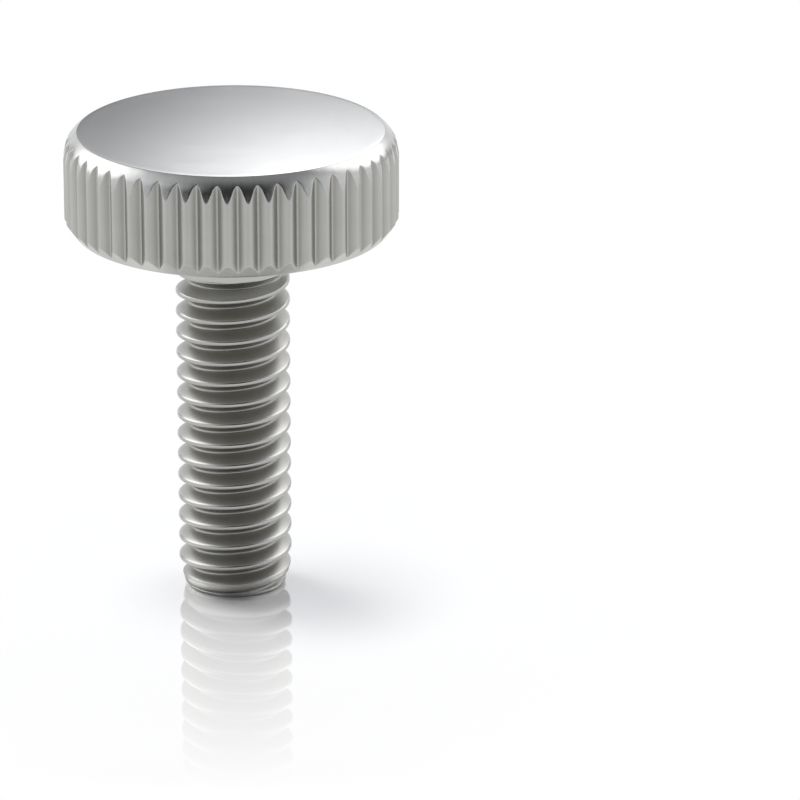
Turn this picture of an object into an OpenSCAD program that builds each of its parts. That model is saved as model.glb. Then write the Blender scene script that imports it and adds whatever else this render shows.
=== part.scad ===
// Knurled thumb screw, turned from one bar: a broad low head with a straight knurl, a thin collar
// under it, and a right-hand thread with a flat, chamfered tip.
// It stands on its tip: the axis is +Z and the origin is the middle of the tip face.

/* [Head] */
// Diameter over the knurl ridges
head_d = 12.1; // [10:0.1:16]
// Height of the head, from its underside to its flat top
head_h = 3.7; // [3:0.05:6]
// Width of the rounded bevel round the top, across the radius
top_bevel_w = 0.5; // [0.3:0.05:0.8]
// Height of the rounded bevel round the top
top_bevel_h = 0.9; // [0.8:0.05:1.3]
// Width of the rounded bevel round the underside, across the radius
under_bevel_w = 0.53; // [0.3:0.01:0.6]
// Height of the rounded bevel round the underside
under_bevel_h = 0.72; // [0.7:0.01:1]

/* [Knurl] */
// Number of straight grooves round the head
knurl_count = 51; // [40:1:64]
// Depth of each groove below the ridges
knurl_depth = 0.23; // [0.12:0.01:0.3]
// Width of the land left on each ridge
ridge_w = 0.04; // [0.02:0.01:0.1]
// Turn of the knurl about the axis, in degrees
knurl_phase = 5.6; // [0:0.1:7]

/* [Collar] */
// Diameter of the collar under the head
collar_d = 4.6; // [4.3:0.05:5.5]
// Height of the collar
collar_h = 0.2; // [0.15:0.01:0.4]
// Radius of the collar's lower rim
collar_rim = 0.1; // [0.06:0.01:0.14]
// Radius of the fillet between the collar and the underside
collar_fillet = 0.08; // [0.04:0.01:0.1]
// Diameter of the plain neck between the collar and the thread
neck_d = 4; // [3.6:0.05:4.1]
// Length of the hollow that narrows from the collar to the neck
cove_l = 1.25; // [0.5:0.05:1.5]
// Width of the flat step between the collar's rim and the hollow
collar_step = 0.04; // [0.02:0.01:0.08]

/* [Thread] */
// Length under the head, from its underside to the tip
under_head_l = 13.8; // [8:0.05:30]
// Major diameter of the thread
thread_d = 4.166; // [4:0.001:4.4]
// Pitch of the thread, one turn's rise
thread_pitch = 0.794; // [0.6:0.001:1]
// Turn of the thread about the axis, in degrees
thread_phase = 335; // [0:5:355]
// Length over which the groove fades out below the neck
runout_l = 0.4; // [0.3:0.05:1.5]

/* [Tip] */
// Diameter of the flat tip face
tip_d = 3.18; // [2.4:0.02:3.4]
// Width of the rounded edge of the tip, across the radius
tip_edge_w = 0.26; // [0.1:0.01:0.3]
// Height of the rounded edge of the tip
tip_edge_h = 0.15; // [0.08:0.01:0.3]
// Height above the tip at which the crests reach the full diameter
lead_h = 1; // [0.6:0.05:2]

/* [Hidden] */
steel = [0.76, 0.76, 0.75];

head_r = head_d / 2;
collar_r = collar_d / 2;
neck_r = neck_d / 2;
thread_r = thread_d / 2;
tip_r = tip_d / 2;
head_top_z = under_head_l + head_h;
bevel_z = head_top_z - top_bevel_h;
under_bevel_z = under_head_l + under_bevel_h;
collar_z = under_head_l - collar_h;
neck_z = collar_z - cove_l;
// Outlines that join reach this far into each other, inside the metal
lap = under_bevel_w / 2;

// The fillet is no taller than the straight side of the collar
fillet_r = min(collar_fillet, collar_h - collar_rim);

// The hollow is an arc that runs into the neck without a corner
cove_top_r = collar_r - collar_rim - collar_step;
cove_w = cove_top_r - neck_r;
cove_arc = (pow(cove_w, 2) + pow(cove_l, 2)) / (2 * cove_w);

// Each groove is as wide as the spacing of the ridges allows, and is cut past both ends of the head
knurl_spacing = 2 * head_r * sin(180 / knurl_count);
groove_slope = (knurl_spacing - ridge_w) / 2 / knurl_depth;
groove_reach = 2 * knurl_depth;
groove_over = head_h / 10;
head_sides = 4 * knurl_count;

// Thread form: flanks at 30 degrees, a crest flat of an eighth of the pitch, 17/24 of the sharp V deep
flank_angle = 30;
crest_half = thread_pitch / 8 / 2;
sharp_v = thread_pitch / 2 / tan(flank_angle);
thread_depth = 17 / 24 * sharp_v;
root_r = thread_r - thread_depth;
flank_w = thread_depth * tan(flank_angle);
form_z = [-crest_half, crest_half, crest_half + flank_w, thread_pitch - crest_half - flank_w];
form_points = len(form_z);

// The thread is a grid of upright columns, each one a share of a turn further up than the last.
// Spare turns past the tip and the neck close up on the rings at the two ends
thread_sides = 40;
spare_turns = 3;
rows = (ceil(neck_z / thread_pitch) + 2 * spare_turns) * form_points;
first_crest_z = thread_pitch * (thread_phase / 360 - spare_turns);

// The thread ends a hair inside the neck, and its core reaches up into the collar
seat_r = 0.99 * neck_r;
core_top_z = collar_z;

$fn = 96;

// Share of the way from a to b, held between 0 and 1
function share(x, a, b) = max(0, min(1, (x - a) / (b - a)));

// Distance along the axis from a height to the nearest crest in a column
function crest_gap(i, z) =
    let (t = (z - first_crest_z) / thread_pitch - i / thread_sides)
    abs(t - round(t)) * thread_pitch;

// Radius of the plain 60 degree form at a height in a column
function form_r(i, z) =
    max(root_r, thread_r - max(0, crest_gap(i, z) - crest_half) / tan(flank_angle));

// Largest radius at a height: the lead at the tip and the end of the crests at the neck
function most_r(z) = min(
    tip_r + tip_edge_w + (thread_r - tip_r - tip_edge_w) * share(z, tip_edge_h, lead_h),
    thread_r + (seat_r - thread_r) * share(z, neck_z - thread_pitch / 2, neck_z));

// Smallest radius at a height: the groove's floor rises to the neck where the thread runs out
function least_r(z) = root_r + (seat_r - root_r) * share(z, neck_z - runout_l, neck_z);

// A point of the thread at a height in a column
function thread_point(i, z) =
    let (r = min(most_r(z), max(least_r(z), form_r(i, z))), a = 360 * i / thread_sides)
    [r * cos(a), r * sin(a), z];

// Height of a row in a column, held between the tip's edge and the neck
function row_z(i, j) =
    let (turn = floor(j / form_points) + i / thread_sides)
    max(tip_edge_h, min(neck_z, first_crest_z + turn * thread_pitch + form_z[j % form_points]));

// A plain ring of points round the axis
function ring(r, z) =
    [for (i = [0 : thread_sides - 1]) let (a = 360 * i / thread_sides) [r * cos(a), r * sin(a), z]];

// The two triangles of a four-sided patch, less any that have closed up to a line
function patch(p, a, b, c, d) =
    [for (f = [[a, b, c], [a, c, d]])
        if (p[f[0]] != p[f[1]] && p[f[1]] != p[f[2]] && p[f[2]] != p[f[0]]) f];

// Outline of the turned blank from the neck to the top, as radius and height
module blank_outline() {
    translate([0, under_bevel_z]) square([head_r, bevel_z - under_bevel_z]);
    translate([0, bevel_z]) bevel_outline(top_bevel_w, top_bevel_h);
    translate([0, under_bevel_z]) mirror([0, 1]) bevel_outline(under_bevel_w, under_bevel_h);
    collar_outline();
    difference() {
        translate([0, neck_z]) square([cove_top_r, cove_l + lap]);
        translate([neck_r + cove_arc, neck_z]) circle(cove_arc);
    }
}

// Outline of a rounded bevel, an arc that leaves the side of the head without a corner
module bevel_outline(w, h) {
    arc = (pow(w, 2) + pow(h, 2)) / (2 * w);
    intersection() {
        translate([head_r - arc, 0]) circle(arc);
        square([head_r, h]);
    }
    square([head_r - arc, h]);
}

// Outline of the collar, with a round lower rim and a fillet to the underside of the head
module collar_outline() {
    translate([0, collar_z]) square([collar_r - collar_rim, collar_h + lap]);
    translate([0, collar_z + collar_rim]) square([collar_r, collar_h - collar_rim + lap]);
    translate([collar_r - collar_rim, collar_z + collar_rim]) circle(collar_rim);
    difference() {
        translate([0, under_head_l - fillet_r]) square([collar_r + fillet_r, fillet_r + lap]);
        translate([collar_r + fillet_r, under_head_l - fillet_r]) circle(fillet_r);
    }
}

// One straight V groove, cut through both bevels so that it ends in a pointed arch
module knurl_groove() {
    translate([head_r - knurl_depth, 0, under_head_l - groove_over])
        linear_extrude(head_h + 2 * groove_over)
            polygon([
                [0, 0],
                [groove_reach, -groove_reach * groove_slope],
                [groove_reach, groove_reach * groove_slope]]);
}

// Head, collar and neck, with the knurl cut round the head
module knurled_head() {
    difference() {
        rotate_extrude($fn = head_sides) blank_outline();
        for (k = [0 : knurl_count - 1])
            rotate(knurl_phase + 360 * k / knurl_count) knurl_groove();
    }
}

// The threaded shank with its core, from the tip face up into the collar
module threaded_shank() {
    grid = [for (i = [0 : thread_sides - 1], j = [0 : rows - 1]) thread_point(i, row_z(i, j))];
    low = len(grid);
    high = low + thread_sides;
    points = concat(grid, ring(tip_r, 0), ring(seat_r, core_top_z));
    flanks = [
        for (i = [0 : thread_sides - 1], j = [0 : rows - form_points - 2])
            let (
                // Past the last column the grid goes on in the first one, a whole turn up
                wraps = i == thread_sides - 1,
                a = i * rows + j,
                b = wraps ? j + form_points : a + rows)
            each patch(points, a, a + 1, b + 1, b)];
    ends = [
        for (i = [0 : thread_sides - 1])
            let (n = (i + 1) % thread_sides, last = rows - form_points - 1)
            each concat(
                patch(points, low + i, i * rows, n * rows, low + n),
                patch(points, i * rows + last, high + i, high + n, n * rows + last))];
    caps = [
        [for (i = [0 : thread_sides - 1]) low + i],
        [for (i = [thread_sides - 1 : -1 : 0]) high + i]];
    polyhedron(points, concat(flanks, ends, caps));
}

// The whole screw, one solid
module thumb_screw() {
    color(steel) {
        knurled_head();
        threaded_shank();
    }
}

thumb_screw();
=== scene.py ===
import math

import bmesh
import bpy
import numpy as np
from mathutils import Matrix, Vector


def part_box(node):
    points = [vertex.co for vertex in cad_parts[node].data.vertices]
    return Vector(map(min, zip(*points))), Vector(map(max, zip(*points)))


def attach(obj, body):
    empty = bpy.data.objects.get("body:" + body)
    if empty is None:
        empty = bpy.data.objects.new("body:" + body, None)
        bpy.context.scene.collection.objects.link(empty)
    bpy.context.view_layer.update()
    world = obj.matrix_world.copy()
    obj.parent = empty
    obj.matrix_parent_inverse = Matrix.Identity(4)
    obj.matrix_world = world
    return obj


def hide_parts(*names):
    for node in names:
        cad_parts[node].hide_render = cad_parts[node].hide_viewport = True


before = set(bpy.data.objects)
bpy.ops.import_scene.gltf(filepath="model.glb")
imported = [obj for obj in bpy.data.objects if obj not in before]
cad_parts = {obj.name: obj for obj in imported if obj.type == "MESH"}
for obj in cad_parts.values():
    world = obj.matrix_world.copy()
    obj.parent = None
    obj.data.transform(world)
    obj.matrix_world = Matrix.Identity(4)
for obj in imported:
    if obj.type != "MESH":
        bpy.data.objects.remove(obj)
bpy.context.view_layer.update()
scene = bpy.context.scene
scene.view_settings.view_transform = "Standard"


# Camera: a long lens that looks down on the standing screw from the front, with the screw in the
# left half of the picture.
low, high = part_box("thumb_screw")
screw_height = high.z - low.z
camera_tilt = math.radians(20.1)
camera_distance = 0.1999
look_at_right = 0.00608
look_at_height = 0.00715
camera_data = bpy.data.cameras.new("camera")
camera_data.sensor_width = 36.0
camera_data.lens = 245.7
camera_data.clip_start = 0.005
camera_data.clip_end = 20.0
camera = bpy.data.objects.new("camera", camera_data)
camera.location = (
    look_at_right,
    -camera_distance * math.cos(camera_tilt),
    look_at_height + camera_distance * math.sin(camera_tilt),
)
camera.rotation_euler = (math.pi / 2 - camera_tilt, 0.0, 0.0)
scene.collection.objects.link(camera)
scene.camera = camera


# Thumb screw: one turned piece of stainless steel. The head is knurled with straight grooves that run
# out through both bevels, a thin collar and a hollow lead down to the neck, and the thread is cut
# right-handed down to a chamfered flat tip.
MM = 0.001
head_r = 6.05 * MM
head_top = screw_height
underside = 13.8 * MM
top_bevel_w = 0.5 * MM
top_bevel_h = 0.9 * MM
under_bevel_w = 0.38 * MM
under_bevel_h = 0.52 * MM
knurl_count = 51
knurl_depth = 0.23 * MM
knurl_phase = math.radians(5.6)
collar_r = 2.3 * MM
collar_h = 0.2 * MM
collar_rim = 0.1 * MM
collar_fillet = 0.08 * MM
neck_r = 2.0 * MM
cove_l = 1.25 * MM
collar_step = 0.04 * MM
thread_r = 2.083 * MM
thread_pitch = 0.794 * MM
# Place of a crest, as a share of a turn, and half its width, as a share of the pitch
thread_phase = 335.0 / 360.0
crest_half = 0.09
runout_l = 0.4 * MM
tip_r = 1.59 * MM
tip_edge_w = 0.26 * MM
tip_edge_h = 0.15 * MM
lead_h = 1.0 * MM


def smooth_min(a, b, blend):
    """The smaller of two heights, with the corner where they cross rounded over a width of blend."""
    overlap = np.maximum(blend - np.abs(a - b), 0.0) / blend
    return np.minimum(a, b) - overlap**2 * blend / 4.0


def smooth_max(a, b, blend):
    """The larger of two heights, with the corner where they cross rounded over a width of blend."""
    return -smooth_min(-a, -b, blend)


def around(radius, height, angle):
    """Points of a grid from cylinder coordinates: rows run down the screw, columns run round it."""
    radius, height, angle = np.broadcast_arrays(radius, height, angle)
    return np.stack([radius * np.cos(angle), radius * np.sin(angle), height], axis=-1)


def corner_arc(corner, before, after, radius, steps):
    """Points of a circular fillet of the given radius in a corner of a profile, from the unit vectors
    that lead back along the profile and on along it."""
    corner, before, after = (np.asarray(v, float) for v in (corner, before, after))
    half = math.acos(np.dot(before, after)) / 2.0
    bisector = (before + after) / np.linalg.norm(before + after)
    centre = corner + bisector * radius / math.sin(half)
    start = corner + before * radius / math.tan(half) - centre
    end = corner + after * radius / math.tan(half) - centre
    turn = math.pi - 2.0 * half
    share = np.linspace(0.0, 1.0, steps)[:, None]
    return centre + (np.sin((1.0 - share) * turn) * start + np.sin(share * turn) * end) / math.sin(turn)


def knurl_columns():
    """Radius, angle and painted shade of every column of the head. Across a groove the depth follows a
    hyperbola, two flat flanks that meet in a round root, and the ridges between grooves are cut off by
    the turned circle with a rounded edge. The painted shade is a darker colour along both sides of the
    root, where the flanks shade each other."""
    half_spacing = head_r * math.sin(math.pi / knurl_count)
    flank_slope = 0.82
    root_round = 0.025 * MM
    ridge_round = 0.06 * MM
    side = np.array([0.045, 0.1, 0.2, 0.38, 0.62, 0.83, 0.94])
    share = np.concatenate([[-1.0], -side[::-1], [0.0], side])
    across = share * half_spacing
    rise = (np.hypot(across, root_round) - root_round) * flank_slope
    groove = head_r - knurl_depth + rise
    land = np.sqrt(head_r**2 - across**2)
    out = smooth_min(groove, land, ridge_round)
    groove_angle = knurl_phase + 2.0 * math.pi * np.arange(knurl_count)[:, None] / knurl_count
    angle = groove_angle + np.arctan2(across, out)
    radius = np.broadcast_to(np.hypot(across, out), angle.shape)
    # Painted shade: a darker colour on both sides of the root, strongest a little way off it
    painted_shade_place = [0.0, 0.08, 0.22, 0.45, 0.7]
    painted_shade_share = [0.0, 0.1, 0.38, 0.1, 0.0]
    painted_shade = np.broadcast_to(np.interp(np.abs(share), painted_shade_place, painted_shade_share), angle.shape)
    return radius.ravel(), angle.ravel(), painted_shade.ravel()


def head_grid():
    """Rows of the head from the middle of the flat top, over the rounded bevel, down the knurl and in
    along the underside. Each column's radius is the smaller of the turned profile and the groove, and
    the rows crowd together where the groove runs out, so that the pointed arches stay crisp. The
    second grid is 1 where the knurl is cut and 0 where the head is turned, and the third is painted
    shade: a darker colour in the grooves and, fainter, on the band below them and the underside, which
    face down."""
    groove_r, angle, groove_painted_shade = knurl_columns()
    arc = (top_bevel_w**2 + top_bevel_h**2) / (2.0 * top_bevel_w)
    bevel_low = head_top - top_bevel_h
    under_top = underside + under_bevel_h
    flat_r = head_r - top_bevel_w
    arch_round = 0.02 * MM
    cone_round = 0.01 * MM
    edge_round = 0.06 * MM
    foot_round = 0.15 * MM
    # Painted shade on the band below the knurl and on the underside, which face down
    band_painted_shade = 0.14
    cone_slope = math.tan(math.radians(12.0))
    lean = math.acos(top_bevel_h / arc)
    down_bevel = (math.cos(lean), -math.sin(lean))
    rim = corner_arc((flat_r, head_top), (-1.0, 0.0), down_bevel, edge_round, steps=5)
    under_slope = under_bevel_w / under_bevel_h
    under_lean = math.atan(under_slope)
    up_under = (math.sin(under_lean), math.cos(under_lean))
    foot = corner_arc((head_r - under_bevel_w, underside), up_under, (-1.0, 0.0), foot_round, steps=6)

    def bevel_radius(z):
        """Radius of the top bevel: the smaller of an arc and a steep cone that meets the knurl in a
        corner. Below the bevel both grow past the knurl, which then sets the radius."""
        above = z - bevel_low
        curved = head_r - arc + np.sqrt(np.maximum(arc**2 - np.maximum(above, 0.0) ** 2, 0.0))
        curved = curved + 2.0 * cone_slope * np.maximum(-above, 0.0)
        return smooth_min(curved, head_r - cone_slope * above, cone_round)

    def under_radius(z):
        """Radius of the lower bevel: a straight cone that widens upwards."""
        return head_r - (under_top - z) * under_slope

    groove_in = head_r - groove_r
    arch_top = bevel_low + np.minimum(
        np.sqrt(np.maximum(arc**2 - (arc - groove_in) ** 2, 0.0)), groove_in / cone_slope)
    arch_low = under_top - groove_in / under_slope
    start = rim[-1, 1]
    on_bevel = np.array([0.1, 0.2, 0.3, 0.4, 0.5, 0.6, 0.7, 0.79, 0.87, 0.93, 0.97, 1.0])[:, None]
    on_side = np.array([0.006, 0.015, 0.035, 0.09, 0.3, 0.55, 0.8, 0.93, 0.975, 0.99, 1.0])[:, None]
    on_under = np.array([0.05, 0.15, 0.4, 0.7])[:, None]
    height = np.concatenate([
        start + (arch_top - start) * on_bevel,
        arch_top + (arch_low - arch_top) * on_side,
        arch_low + (foot[0, 1] - arch_low) * on_under])
    turned = smooth_min(bevel_radius(height), under_radius(height), arch_round)
    radius = smooth_min(turned, groove_r, arch_round)
    cut = np.clip((turned - groove_r) / arch_round, 0.0, 1.0)

    flat = np.array([0.25, 0.6, 0.85, 0.96]) * flat_r
    inner = np.array([0.985, 0.85, 0.7]) * foot[-1, 0]
    columns = np.ones_like(angle)
    radius = np.concatenate([
        flat[:, None] * columns, rim[:, :1] * columns, radius, foot[:, :1] * columns,
        inner[:, None] * columns])
    height = np.concatenate([
        np.full((len(flat), len(angle)), head_top), rim[:, 1:] * columns, height, foot[:, 1:] * columns,
        np.full((len(inner), len(angle)), underside)])
    cut = np.pad(cut, ((len(flat) + len(rim), len(foot) + len(inner)), (0, 0)))
    band = np.where(height < under_top, band_painted_shade, 0.0)
    return around(radius, height, angle), cut, cut * groove_painted_shade + (1.0 - cut) * band


def collar_grid(columns):
    """Rows from the underside of the head over the collar's fillet and round rim, then down the hollow,
    an arc that runs into the neck without a corner."""
    angle = 2.0 * math.pi * np.arange(columns) / columns
    collar_z = underside - collar_h
    neck_z = collar_z - cove_l
    cove_top_r = collar_r - collar_rim - collar_step
    cove_w = cove_top_r - neck_r
    cove_arc = (cove_w**2 + cove_l**2) / (2.0 * cove_w)
    join_r = 0.45 * head_r
    fillet_from = collar_r + 1.5 * collar_fillet
    inset = np.array([[join_r, underside], [fillet_from, underside]])
    fillet = corner_arc((collar_r, underside), (1.0, 0.0), (0.0, -1.0), collar_fillet, steps=6)
    rim = corner_arc((collar_r, collar_z), (0.0, 1.0), (-1.0, 0.0), collar_rim, steps=8)
    cove_steps = 14
    drop = cove_l * np.linspace(0.0, 1.0, cove_steps)
    hollow = neck_r + cove_arc - np.sqrt(cove_arc**2 - (cove_l - drop) ** 2)
    cove = np.stack([hollow, collar_z - drop], axis=-1)
    profile = np.concatenate([inset, fillet, rim, cove])
    return around(profile[:, :1], profile[:, 1:], angle), neck_z


def above_crest(angle, z):
    """Height above the nearest crest, from -0.5 to 0.5 of the pitch. A crest climbs one pitch a turn."""
    turn = z / thread_pitch - thread_phase - angle / (2.0 * math.pi)
    return turn - np.round(turn)


def thread_radius(angle, z, neck_z):
    """Radius of the thread: a 60 degree V form along the helix, with a rounded crest and root, held
    under the lead at the tip, and run out to the neck, where the crests sink and the groove's floor
    rises."""
    flank_angle = math.radians(30.0)
    depth_share = 17.0 / 24.0
    crest_round = 0.08 * MM
    root_round = 0.07 * MM
    lead_round = 0.03 * MM
    lead_over = 0.01 * MM
    sharp_v = thread_pitch * math.cos(flank_angle)
    root_r = thread_r - depth_share * sharp_v
    off_crest = (np.abs(above_crest(angle, z)) - crest_half) * thread_pitch
    flank = thread_r - off_crest / math.tan(flank_angle)
    form = smooth_max(smooth_min(flank, thread_r, crest_round), root_r, root_round)
    lead_low = tip_r + tip_edge_w
    up_lead = np.clip((z - tip_edge_h) / (lead_h - tip_edge_h), 0.0, 1.0)
    lead = lead_low + (thread_r - lead_low) * up_lead + lead_over
    crest_sink = np.clip(1.0 + 2.0 * (z - neck_z) / thread_pitch, 0.0, 1.0)
    crest_end = thread_r + (neck_r - thread_r) * crest_sink
    floor_rise = np.clip(1.0 + (z - neck_z) / runout_l, 0.0, 1.0)
    floor_end = root_r + (neck_r - root_r) * floor_rise
    held = smooth_min(np.maximum(form, floor_end), lead, lead_round)
    return np.where(z >= neck_z, neck_r, np.minimum(held, crest_end))


def painted_shade_and_grain(angle, z, neck_z):
    """Painted shade and grain in the thread, each a share that follows the height above the crest. The
    painted shade is a darker colour, thickest on the flanks that face down, fainter on the lower side of
    the crest, nearly gone on the crest's top and in the root, and thinner on the flanks that face up.
    The grain is the roughness that the cutting leaves on the flanks and the root, and the crests have
    none."""
    over_crest = above_crest(angle, z)
    # Painted shade: darkest on the flank that faces down
    painted_shade_place = [-0.5, -0.43, -0.38, -0.15, -0.03, 0.04, 0.15, 0.3, 0.42, 0.5]
    painted_shade_share = [0.12, 0.25, 0.7, 0.7, 0.25, 0.0, 0.05, 0.3, 0.35, 0.12]
    grain_place = [crest_half, 0.15]
    below_neck = np.clip((neck_z - z) / runout_l, 0.0, 1.0)
    painted_shade = np.interp(over_crest, painted_shade_place, painted_shade_share)
    grain = np.interp(np.abs(over_crest), grain_place, [0.0, 1.0])
    return painted_shade * below_neck, grain * below_neck


def thread_grid(columns, neck_z):
    """Columns of the thread, each one a share of a turn further up than the last. The rows of a turn
    lie closest round the crest and the root, and rows past the neck or the tip close up on the rings
    there. The other two grids are the painted shade and the grain."""
    half = np.array([0.035, 0.06, 0.08, 0.1, 0.12, 0.145, 0.195, 0.27, 0.35, 0.39, 0.42, 0.46])
    form = np.concatenate([-half[::-1], [0.0], half, [0.5]])
    turns = np.arange(-2, math.ceil(neck_z / thread_pitch) + 2)
    rows = (turns[:, None] + form).ravel()[::-1]
    angle = 2.0 * math.pi * np.arange(columns + 1) / columns
    z = (rows[:, None] + thread_phase + angle / (2.0 * math.pi)) * thread_pitch
    z = np.clip(z, tip_edge_h, neck_z)
    return around(thread_radius(angle, z, neck_z), z, angle), *painted_shade_and_grain(angle, z, neck_z)


def tip_grid(columns, neck_z):
    """Rows from the last of the thread round the edge of the tip, a quarter of an ellipse, and in over
    the flat tip face. The second grid is painted shade, a contact shadow where the tip meets the floor,
    which darkens round the edge towards the floor and is half as dark on the face."""
    # Painted shade of the tip face, which stands on the floor
    face_painted_shade = 0.5
    edge_steps = 8
    angle = 2.0 * math.pi * np.arange(columns) / columns
    edge_r = thread_radius(angle, np.full(columns, tip_edge_h), neck_z)
    swing = np.linspace(math.pi / 2, 0.0, edge_steps)[:, None]
    radius = tip_r + (edge_r - tip_r) * np.sin(swing)
    height = tip_edge_h * (1.0 - np.cos(swing)) * np.ones(columns)
    face = np.array([0.96, 0.8, 0.4])[:, None] * tip_r * np.ones(columns)
    painted_shade = np.concatenate([1.0 - np.sin(swing) * np.ones(columns), np.full_like(face, face_painted_shade)])
    return around(np.concatenate([radius, face]), np.concatenate([height, 0.0 * face]), angle), painted_shade


def grid_faces(rows, columns, first, closed):
    """Four-sided faces between the rows of a grid that run down an outside wall."""
    wide = columns if closed else columns - 1
    row, column = np.meshgrid(np.arange(rows - 1), np.arange(wide), indexing="ij")
    beside = (column + 1) % columns
    corners = [row * columns + column, (row + 1) * columns + column,
               (row + 1) * columns + beside, row * columns + beside]
    return first + np.stack(corners, axis=-1).reshape(-1, 4)


def fan_faces(centre, ring, upwards):
    """Triangles from a middle point to a ring of points, which face up or down."""
    after = np.roll(ring, -1)
    middle = np.full_like(ring, centre)
    return np.stack([middle, ring, after] if upwards else [middle, after, ring], axis=-1)


def step_faces(fine, coarse):
    """Triangles between a ring and a coarser ring inside it, with a whole number of steps to each."""
    ratio = len(fine) // len(coarse)
    after = np.roll(coarse, -1)
    inner = np.repeat(coarse, ratio)
    fans = np.stack([fine, inner, np.roll(fine, -1)], axis=-1)
    joins = np.stack([coarse, after, np.roll(fine, -ratio)[::ratio]], axis=-1)
    return np.concatenate([fans, joins])


head, knurl_cut, knurl_painted_shade = head_grid()
head_columns = head.shape[1]
# Each column of the shank meets this many of the head's
head_to_shank = 6
shank_columns = head_columns // head_to_shank
collar, neck_height = collar_grid(shank_columns)
# The collar's columns are numbered from the same side as the head's, so the two rings line up
shift = int(round(math.atan2(head[0, 0, 1], head[0, 0, 0]) / (2.0 * math.pi) * shank_columns))
thread, thread_painted_shade, thread_grain = thread_grid(shank_columns, neck_height)
tip, tip_painted_shade = tip_grid(shank_columns, neck_height)
# The middle points of the flat top and of the tip face close the two ends
middles = np.array([[[0.0, 0.0, head_top]], [[0.0, 0.0, 0.0]]])
parts = [head, collar, thread, tip, middles]
starts = np.cumsum([0] + [part[..., 0].size for part in parts])
points = np.concatenate([part.reshape(-1, 3) for part in parts])
head_last = starts[1] - head_columns + np.arange(head_columns)
collar_first = starts[1] + np.roll(np.arange(shank_columns), -shift)
tip_last = starts[4] - shank_columns + np.arange(shank_columns)
quads = np.concatenate([
    grid_faces(head.shape[0], head_columns, starts[0], True),
    grid_faces(collar.shape[0], shank_columns, starts[1], True),
    grid_faces(thread.shape[0], shank_columns + 1, starts[2], False),
    grid_faces(tip.shape[0], shank_columns, starts[3], True)])
triangles = np.concatenate([
    fan_faces(starts[4], np.arange(head_columns), True),
    step_faces(head_last, collar_first),
    fan_faces(starts[4] + 1, tip_last, False)])
mesh = bpy.data.meshes.new("thumb_screw_steel")
mesh.from_pydata(points.tolist(), [], quads.tolist() + triangles.tolist())
knurl_mark = np.zeros(len(points))
knurl_mark[:starts[1]] = knurl_cut.ravel()
# Painted shade, a darker colour: beside the knurl's roots, under the head, on the thread and at the tip
painted_shade_mark = np.zeros(len(points))
painted_shade_mark[:starts[1]] = knurl_painted_shade.ravel()
painted_shade_mark[starts[2]:starts[3]] = thread_painted_shade.ravel()
painted_shade_mark[starts[3]:starts[4]] = tip_painted_shade.ravel()
# The flat underside of the head is turned more coarsely than its top
underside_grain = 1.6
flat_within = 0.001 * MM
on_underside = np.abs(points[:, 2] - underside) < flat_within
grain_mark = np.where(on_underside, underside_grain, knurl_mark)
grain_mark[starts[2]:starts[3]] = thread_grain.ravel()
for name, mark in (("knurl", knurl_mark), ("painted_shade", painted_shade_mark), ("grain", grain_mark)):
    layer = mesh.attributes.new(name, "FLOAT", "POINT")
    layer.data.foreach_set("value", mark.astype(np.float32))
# The grids meet in shared rings, whose doubled points are merged to close the seams
merge_within = 2e-8
shortest_edge = 1e-9
work = bmesh.new()
work.from_mesh(mesh)
bmesh.ops.remove_doubles(work, verts=work.verts, dist=merge_within)
bmesh.ops.dissolve_degenerate(work, edges=work.edges, dist=shortest_edge)
bmesh.ops.recalc_face_normals(work, faces=work.faces)
work.to_mesh(mesh)
work.free()
mesh.shade_smooth()
screw = bpy.data.objects.new("thumb_screw_steel", mesh)
scene.collection.objects.link(screw)
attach(screw, "root")
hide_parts("thumb_screw")


def add_node(tree, kind, inputs=None, **settings):
    """A shader node with its settings, whose inputs are linked from sockets or set to plain values."""
    node = tree.nodes.new("ShaderNode" + kind)
    for name, value in settings.items():
        setattr(node, name, value)
    for name, value in (inputs or {}).items():
        if isinstance(value, bpy.types.NodeSocket):
            tree.links.new(value, node.inputs[name])
        else:
            node.inputs[name].default_value = value
    return node


def scaled(tree, value, span, result, shape="LINEAR"):
    """A value carried from one range to another and held at its ends."""
    ranges = {"From Min": span[0], "From Max": span[1], "To Min": result[0], "To Max": result[1]}
    node = add_node(tree, "MapRange", {"Value": value, **ranges}, interpolation_type=shape)
    return node.outputs["Result"]


def combined(tree, operation, *values):
    """The result of a sum on up to three values."""
    return add_node(tree, "Math", dict(enumerate(values)), operation=operation).outputs["Value"]


def blended(tree, share, first, second):
    """A colour between two others."""
    return add_node(tree, "Mix", {0: share, 6: first, 7: second}, data_type="RGBA").outputs[2]


def stretched(tree, place, factors):
    """A place with each of its coordinates times a factor."""
    return add_node(tree, "VectorMath", {0: place, 1: factors}, operation="MULTIPLY").outputs["Vector"]


def noise(tree, place, scale, detail):
    """A noise from 0 to 1 over a place."""
    return add_node(tree, "TexNoise", {"Vector": place, "Scale": scale, "Detail": detail}).outputs["Fac"]


# Satin steel: fine turning marks run round the turned faces and straight marks run down the knurl, and
# the polish varies softly. Painted shade, a dark warm colour, lies in the groove of the thread, beside
# the knurl's roots, round the edge of the tip and, fainter, on the band below the knurl, and the
# roughness rises there too.
clean_steel = (0.488, 0.49, 0.474, 1.0)
dull_steel = (0.462, 0.464, 0.449, 1.0)
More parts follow.
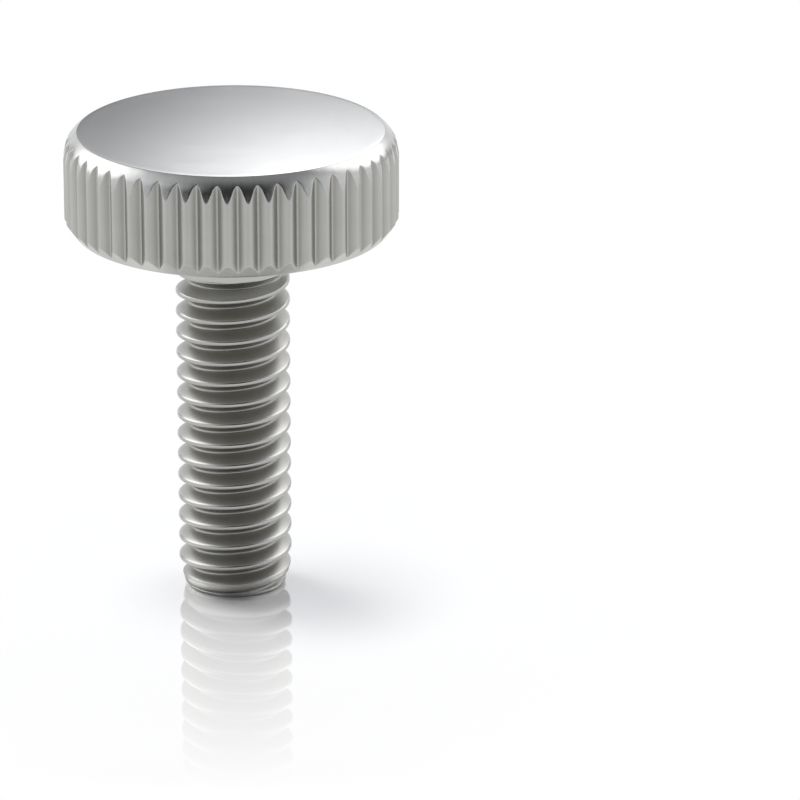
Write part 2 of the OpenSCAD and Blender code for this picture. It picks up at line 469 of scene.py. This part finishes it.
# Colour of the painted shade
painted_shade_colour = (0.2, 0.18, 0.146, 1.0)
onto_tip_face = (1.0, 1.0, 0.0)
along_knurl = (1.0, 1.0, 0.03)
mark_scale = 9000.0
mark_detail = 3.0
mark_strength = 0.04
mark_depth = 0.004 * MM
patch_scale = 700.0
patch_detail = 2.0
dull_wear = (0.75, 1.25)
rough_wear = (0.7, 1.3)
wear_rough = (0.18, 0.205)
grain_rough = 0.18
painted_shade_rough = 0.18
steel = bpy.data.materials.new("satin_steel")
steel.use_nodes = True
tree = steel.node_tree
place = add_node(tree, "TexCoord").outputs["Object"]
off_axis = stretched(tree, place, onto_tip_face)
radius = add_node(tree, "VectorMath", {0: off_axis}, operation="LENGTH").outputs["Value"]
height = add_node(tree, "SeparateXYZ", {0: place}).outputs["Z"]
round_place = add_node(tree, "CombineXYZ", {"X": radius, "Y": height}).outputs["Vector"]
turned_marks = noise(tree, round_place, mark_scale, mark_detail)
down_marks = noise(tree, stretched(tree, place, along_knurl), mark_scale, mark_detail)
knurl_here = add_node(tree, "Attribute", attribute_name="knurl").outputs["Fac"]
painted_shade_here = add_node(tree, "Attribute", attribute_name="painted_shade").outputs["Fac"]
grain_here = add_node(tree, "Attribute", attribute_name="grain").outputs["Fac"]
marks = add_node(tree, "Mix", {0: knurl_here, 2: turned_marks, 3: down_marks}).outputs[0]
wear = combined(tree, "ADD", marks, noise(tree, place, patch_scale, patch_detail))
bare = blended(tree, scaled(tree, wear, dull_wear, (0.0, 1.0)), clean_steel, dull_steel)
rough = scaled(tree, wear, rough_wear, wear_rough)
rough = combined(tree, "MULTIPLY_ADD", grain_here, grain_rough, rough)
rough = combined(tree, "MULTIPLY_ADD", painted_shade_here, painted_shade_rough, rough)
bump = add_node(tree, "Bump", {"Height": marks, "Strength": mark_strength, "Distance": mark_depth})
bsdf = tree.nodes["Principled BSDF"]
bsdf.inputs["Metallic"].default_value = 1.0
tree.links.new(blended(tree, painted_shade_here, bare, painted_shade_colour), bsdf.inputs["Base Color"])
tree.links.new(rough, bsdf.inputs["Roughness"])
tree.links.new(bump.outputs["Normal"], bsdf.inputs["Normal"])
mesh.materials.append(steel)


# Floor: a broad white sheet, polished where the screw stands, so that it mirrors the thread faintly.
# Close to the screw it is lit by the lamps and holds the shadow. Further out it is a plain white, which
# falls off to a pale grey in front.
floor_half = 1.5
floor_white = (0.95, 0.95, 0.95, 1.0)
shade_middle = (1.8 * MM, -0.8 * MM, 0.0)
shade_edge = (2.0 * MM, 7.5 * MM)
front_reach = (-54.0 * MM, -22.0 * MM)
front_level = (0.95, 1.0)
mirror_white = (1.0, 1.0, 1.0, 1.0)
mirror_rough = 0.03
mirror_reach = (1.5 * MM, 19.0 * MM)
mirror_share = (0.42, 0.0)
floor_mesh = bpy.data.meshes.new("floor")
floor_corner = np.array([[-1.0, -1.0, 0.0], [1.0, -1.0, 0.0], [1.0, 1.0, 0.0], [-1.0, 1.0, 0.0]])
floor_mesh.from_pydata((floor_corner * floor_half).tolist(), [], [[0, 1, 2, 3]])
floor = bpy.data.objects.new("floor", floor_mesh)
scene.collection.objects.link(floor)
floor_paint = bpy.data.materials.new("white_floor")
floor_paint.use_nodes = True
tree = floor_paint.node_tree
tree.nodes.clear()
place = add_node(tree, "TexCoord").outputs["Object"]
rays = add_node(tree, "LightPath").outputs
seen = combined(tree, "MAXIMUM", rays["Is Camera Ray"], rays["Is Glossy Ray"])
seen = combined(tree, "MAXIMUM", seen, rays["Is Transmission Ray"])
from_shade = add_node(tree, "VectorMath", {0: place, 1: shade_middle}, operation="DISTANCE")
far = scaled(tree, from_shade.outputs["Value"], shade_edge, (0.0, 1.0), "SMOOTHSTEP")
far = combined(tree, "MULTIPLY", seen, far)
behind = add_node(tree, "SeparateXYZ", {0: place}).outputs["Y"]
falloff = scaled(tree, behind, front_reach, front_level, "SMOOTHSTEP")
lit = add_node(tree, "BsdfDiffuse", {"Color": floor_white}).outputs[0]
white = add_node(tree, "Emission", {"Strength": falloff}).outputs[0]
sheet = add_node(tree, "MixShader", {"Fac": far, 1: lit, 2: white}).outputs[0]
reach = add_node(tree, "VectorMath", {0: place}, operation="LENGTH").outputs["Value"]
polish = scaled(tree, reach, mirror_reach, mirror_share)
mirror = add_node(tree, "BsdfGlossy", {"Color": mirror_white, "Roughness": mirror_rough}).outputs[0]
floor_surface = add_node(tree, "MixShader", {"Fac": polish, 1: sheet, 2: mirror}).outputs[0]
add_node(tree, "OutputMaterial", {"Surface": floor_surface})
floor_mesh.materials.append(floor_paint)


# Floor lamp: a broad round lamp behind on the left, which lights the floor and casts the soft shadow.
# The metal doesn't mirror it.
def facing(obj, location, target):
    """Puts a lamp or a light box at a point, unseen by the camera, with its face to another point."""
    obj.location = location
    obj.rotation_euler = (Vector(target) - Vector(location)).to_track_quat("-Z", "Y").to_euler()
    obj.visible_camera = False
    scene.collection.objects.link(obj)


lamp_place = (-0.12, 0.11, 0.10)
tip_middle = (0.0, 0.0, 0.0)
lamp_data = bpy.data.lights.new("floor_lamp", "AREA")
lamp_data.shape = "DISK"
lamp_data.size = 0.1
lamp_data.energy = 0.16
floor_lamp = bpy.data.objects.new("floor_lamp", lamp_data)
floor_lamp.visible_glossy = False
facing(floor_lamp, lamp_place, tip_middle)


# Light boxes: two round faces of thin cloth, one on each side of the screw and both aimed at its head.
# They are brightest in the middle and fade out at the rim, and throw no shadow.
def fading_light(tree, fade, colour, strength):
    """Ends a material in light where fade is 1, which thins out to clear where it is 0."""
    glow = add_node(tree, "Emission", {"Color": colour, "Strength": strength}).outputs[0]
    clear = add_node(tree, "BsdfTransparent").outputs[0]
    surface = add_node(tree, "MixShader", {"Fac": fade, 1: clear, 2: glow}).outputs[0]
    add_node(tree, "OutputMaterial", {"Surface": surface})


box_radius = 0.034
box_fade = (0.5 * box_radius, box_radius)
box_white = (1.0, 1.0, 1.0, 1.0)
box_level = 2.3
box_sides = 48
box_places = {"left_box": (-0.042, 0.017, 0.041), "right_box": (0.039, 0.029, 0.049)}
head_middle = (0.0, 0.0, 0.016)
box_rim = 2.0 * math.pi * np.arange(box_sides) / box_sides
box_points = around(box_radius, 0.0, box_rim)
box_mesh = bpy.data.meshes.new("light_box")
box_mesh.from_pydata(box_points.tolist(), [], [list(range(box_sides))])
box_paint = bpy.data.materials.new("light_box_face")
box_paint.use_nodes = True
tree = box_paint.node_tree
tree.nodes.clear()
place = add_node(tree, "TexCoord").outputs["Object"]
reach = add_node(tree, "VectorMath", {0: place}, operation="LENGTH").outputs["Value"]
fade = scaled(tree, reach, box_fade, (1.0, 0.0), "SMOOTHSTEP")
fading_light(tree, fade, box_white, box_level)
box_mesh.materials.append(box_paint)
for name, location in box_places.items():
    box = bpy.data.objects.new(name, box_mesh)
    box.visible_shadow = False
    facing(box, location, head_middle)


# Studio: the room round the screw, dark at the front and lighter overhead, with a low white wall at the
# back under a darker stretch. Both sides glow, the left one most of all high up. A direction is given by
# its parts to the right (X), to the back (Y) and up (Z).
sky_tint = (0.952, 0.962, 1.0, 1.0)
ceiling_back = (-0.8, 0.0)
ceiling_level = (0.06, 0.38)
dark_back = (0.3, 0.85)
dark_level = (0.0, 0.2)
wall_back = (0.0, 0.3)
wall_aside = (0.45, 0.62)
wall_up = (0.37, 0.5)
wall_level = (0.0, 0.86)
side_aside = (0.35, 0.95)
side_level = (0.0, 0.75)
left_across = (-0.5, -0.1)
left_up = (0.3, 0.7)
left_level = (0.35, 0.0)
world = bpy.data.worlds.new("studio")
scene.world = world
world.use_nodes = True
tree = world.node_tree
tree.nodes.clear()
toward = add_node(tree, "SeparateXYZ", {0: add_node(tree, "TexCoord").outputs["Generated"]}).outputs
aside = combined(tree, "ABSOLUTE", toward["X"])
ceiling = scaled(tree, toward["Y"], ceiling_back, ceiling_level, "SMOOTHSTEP")
dark = scaled(tree, toward["Y"], dark_back, dark_level, "SMOOTHSTEP")
wall_top = scaled(tree, toward["Z"], wall_up, (1.0, 0.0), "SMOOTHSTEP")
wall_side = scaled(tree, aside, wall_aside, (1.0, 0.0), "SMOOTHSTEP")
wall = combined(tree, "MULTIPLY", wall_top, wall_side)
wall = combined(tree, "MULTIPLY", wall, scaled(tree, toward["Y"], wall_back, wall_level, "SMOOTHSTEP"))
side_glow = scaled(tree, aside, side_aside, side_level, "SMOOTHSTEP")
left_glow = scaled(tree, toward["X"], left_across, left_level, "SMOOTHSTEP")
left_glow = combined(tree, "MULTIPLY", left_glow, scaled(tree, toward["Z"], left_up, (0.0, 1.0)))
level = combined(tree, "SUBTRACT", ceiling, dark)
for glow in (wall, side_glow, left_glow):
    level = combined(tree, "ADD", level, glow)
sky = add_node(tree, "Background", {"Color": sky_tint, "Strength": level}).outputs[0]
add_node(tree, "OutputWorld", {"Surface": sky})


# Graduated card: an upright sheet of light behind the head, which the flat top mirrors. It is brightest
# at the upper right, and its lower edge fades out.
card_back = 0.040
card_half = 0.015
card_low = 0.0245
card_high = 0.037
card_fade = (card_low, card_low + 2.5 * MM)
card_across = (-8.5 * MM, 3.0 * MM)
across_level = (0.34, 1.13)
card_up = (25.5 * MM, 34.5 * MM)
up_level = (0.0, 2.02)
up_power = 2.0
card_mesh = bpy.data.meshes.new("graduated_card")
card_corner = [
    (-card_half, card_back, card_low), (card_half, card_back, card_low),
    (card_half, card_back, card_high), (-card_half, card_back, card_high)]
card_mesh.from_pydata(card_corner, [], [[0, 1, 2, 3]])
card = bpy.data.objects.new("graduated_card", card_mesh)
scene.collection.objects.link(card)
card.visible_camera = False
card.visible_diffuse = False
card.visible_shadow = False
card_paint = bpy.data.materials.new("graduated_light")
card_paint.use_nodes = True
tree = card_paint.node_tree
tree.nodes.clear()
place = add_node(tree, "SeparateXYZ", {0: add_node(tree, "TexCoord").outputs["Object"]}).outputs
across = scaled(tree, place["X"], card_across, across_level, "SMOOTHSTEP")
up = combined(tree, "POWER", scaled(tree, place["Z"], card_up, up_level), up_power)
grade = combined(tree, "MULTIPLY", across, up)
fade = scaled(tree, place["Z"], card_fade, (0.0, 1.0), "SMOOTHSTEP")
fading_light(tree, fade, sky_tint, grade)
card_mesh.materials.append(card_paint)
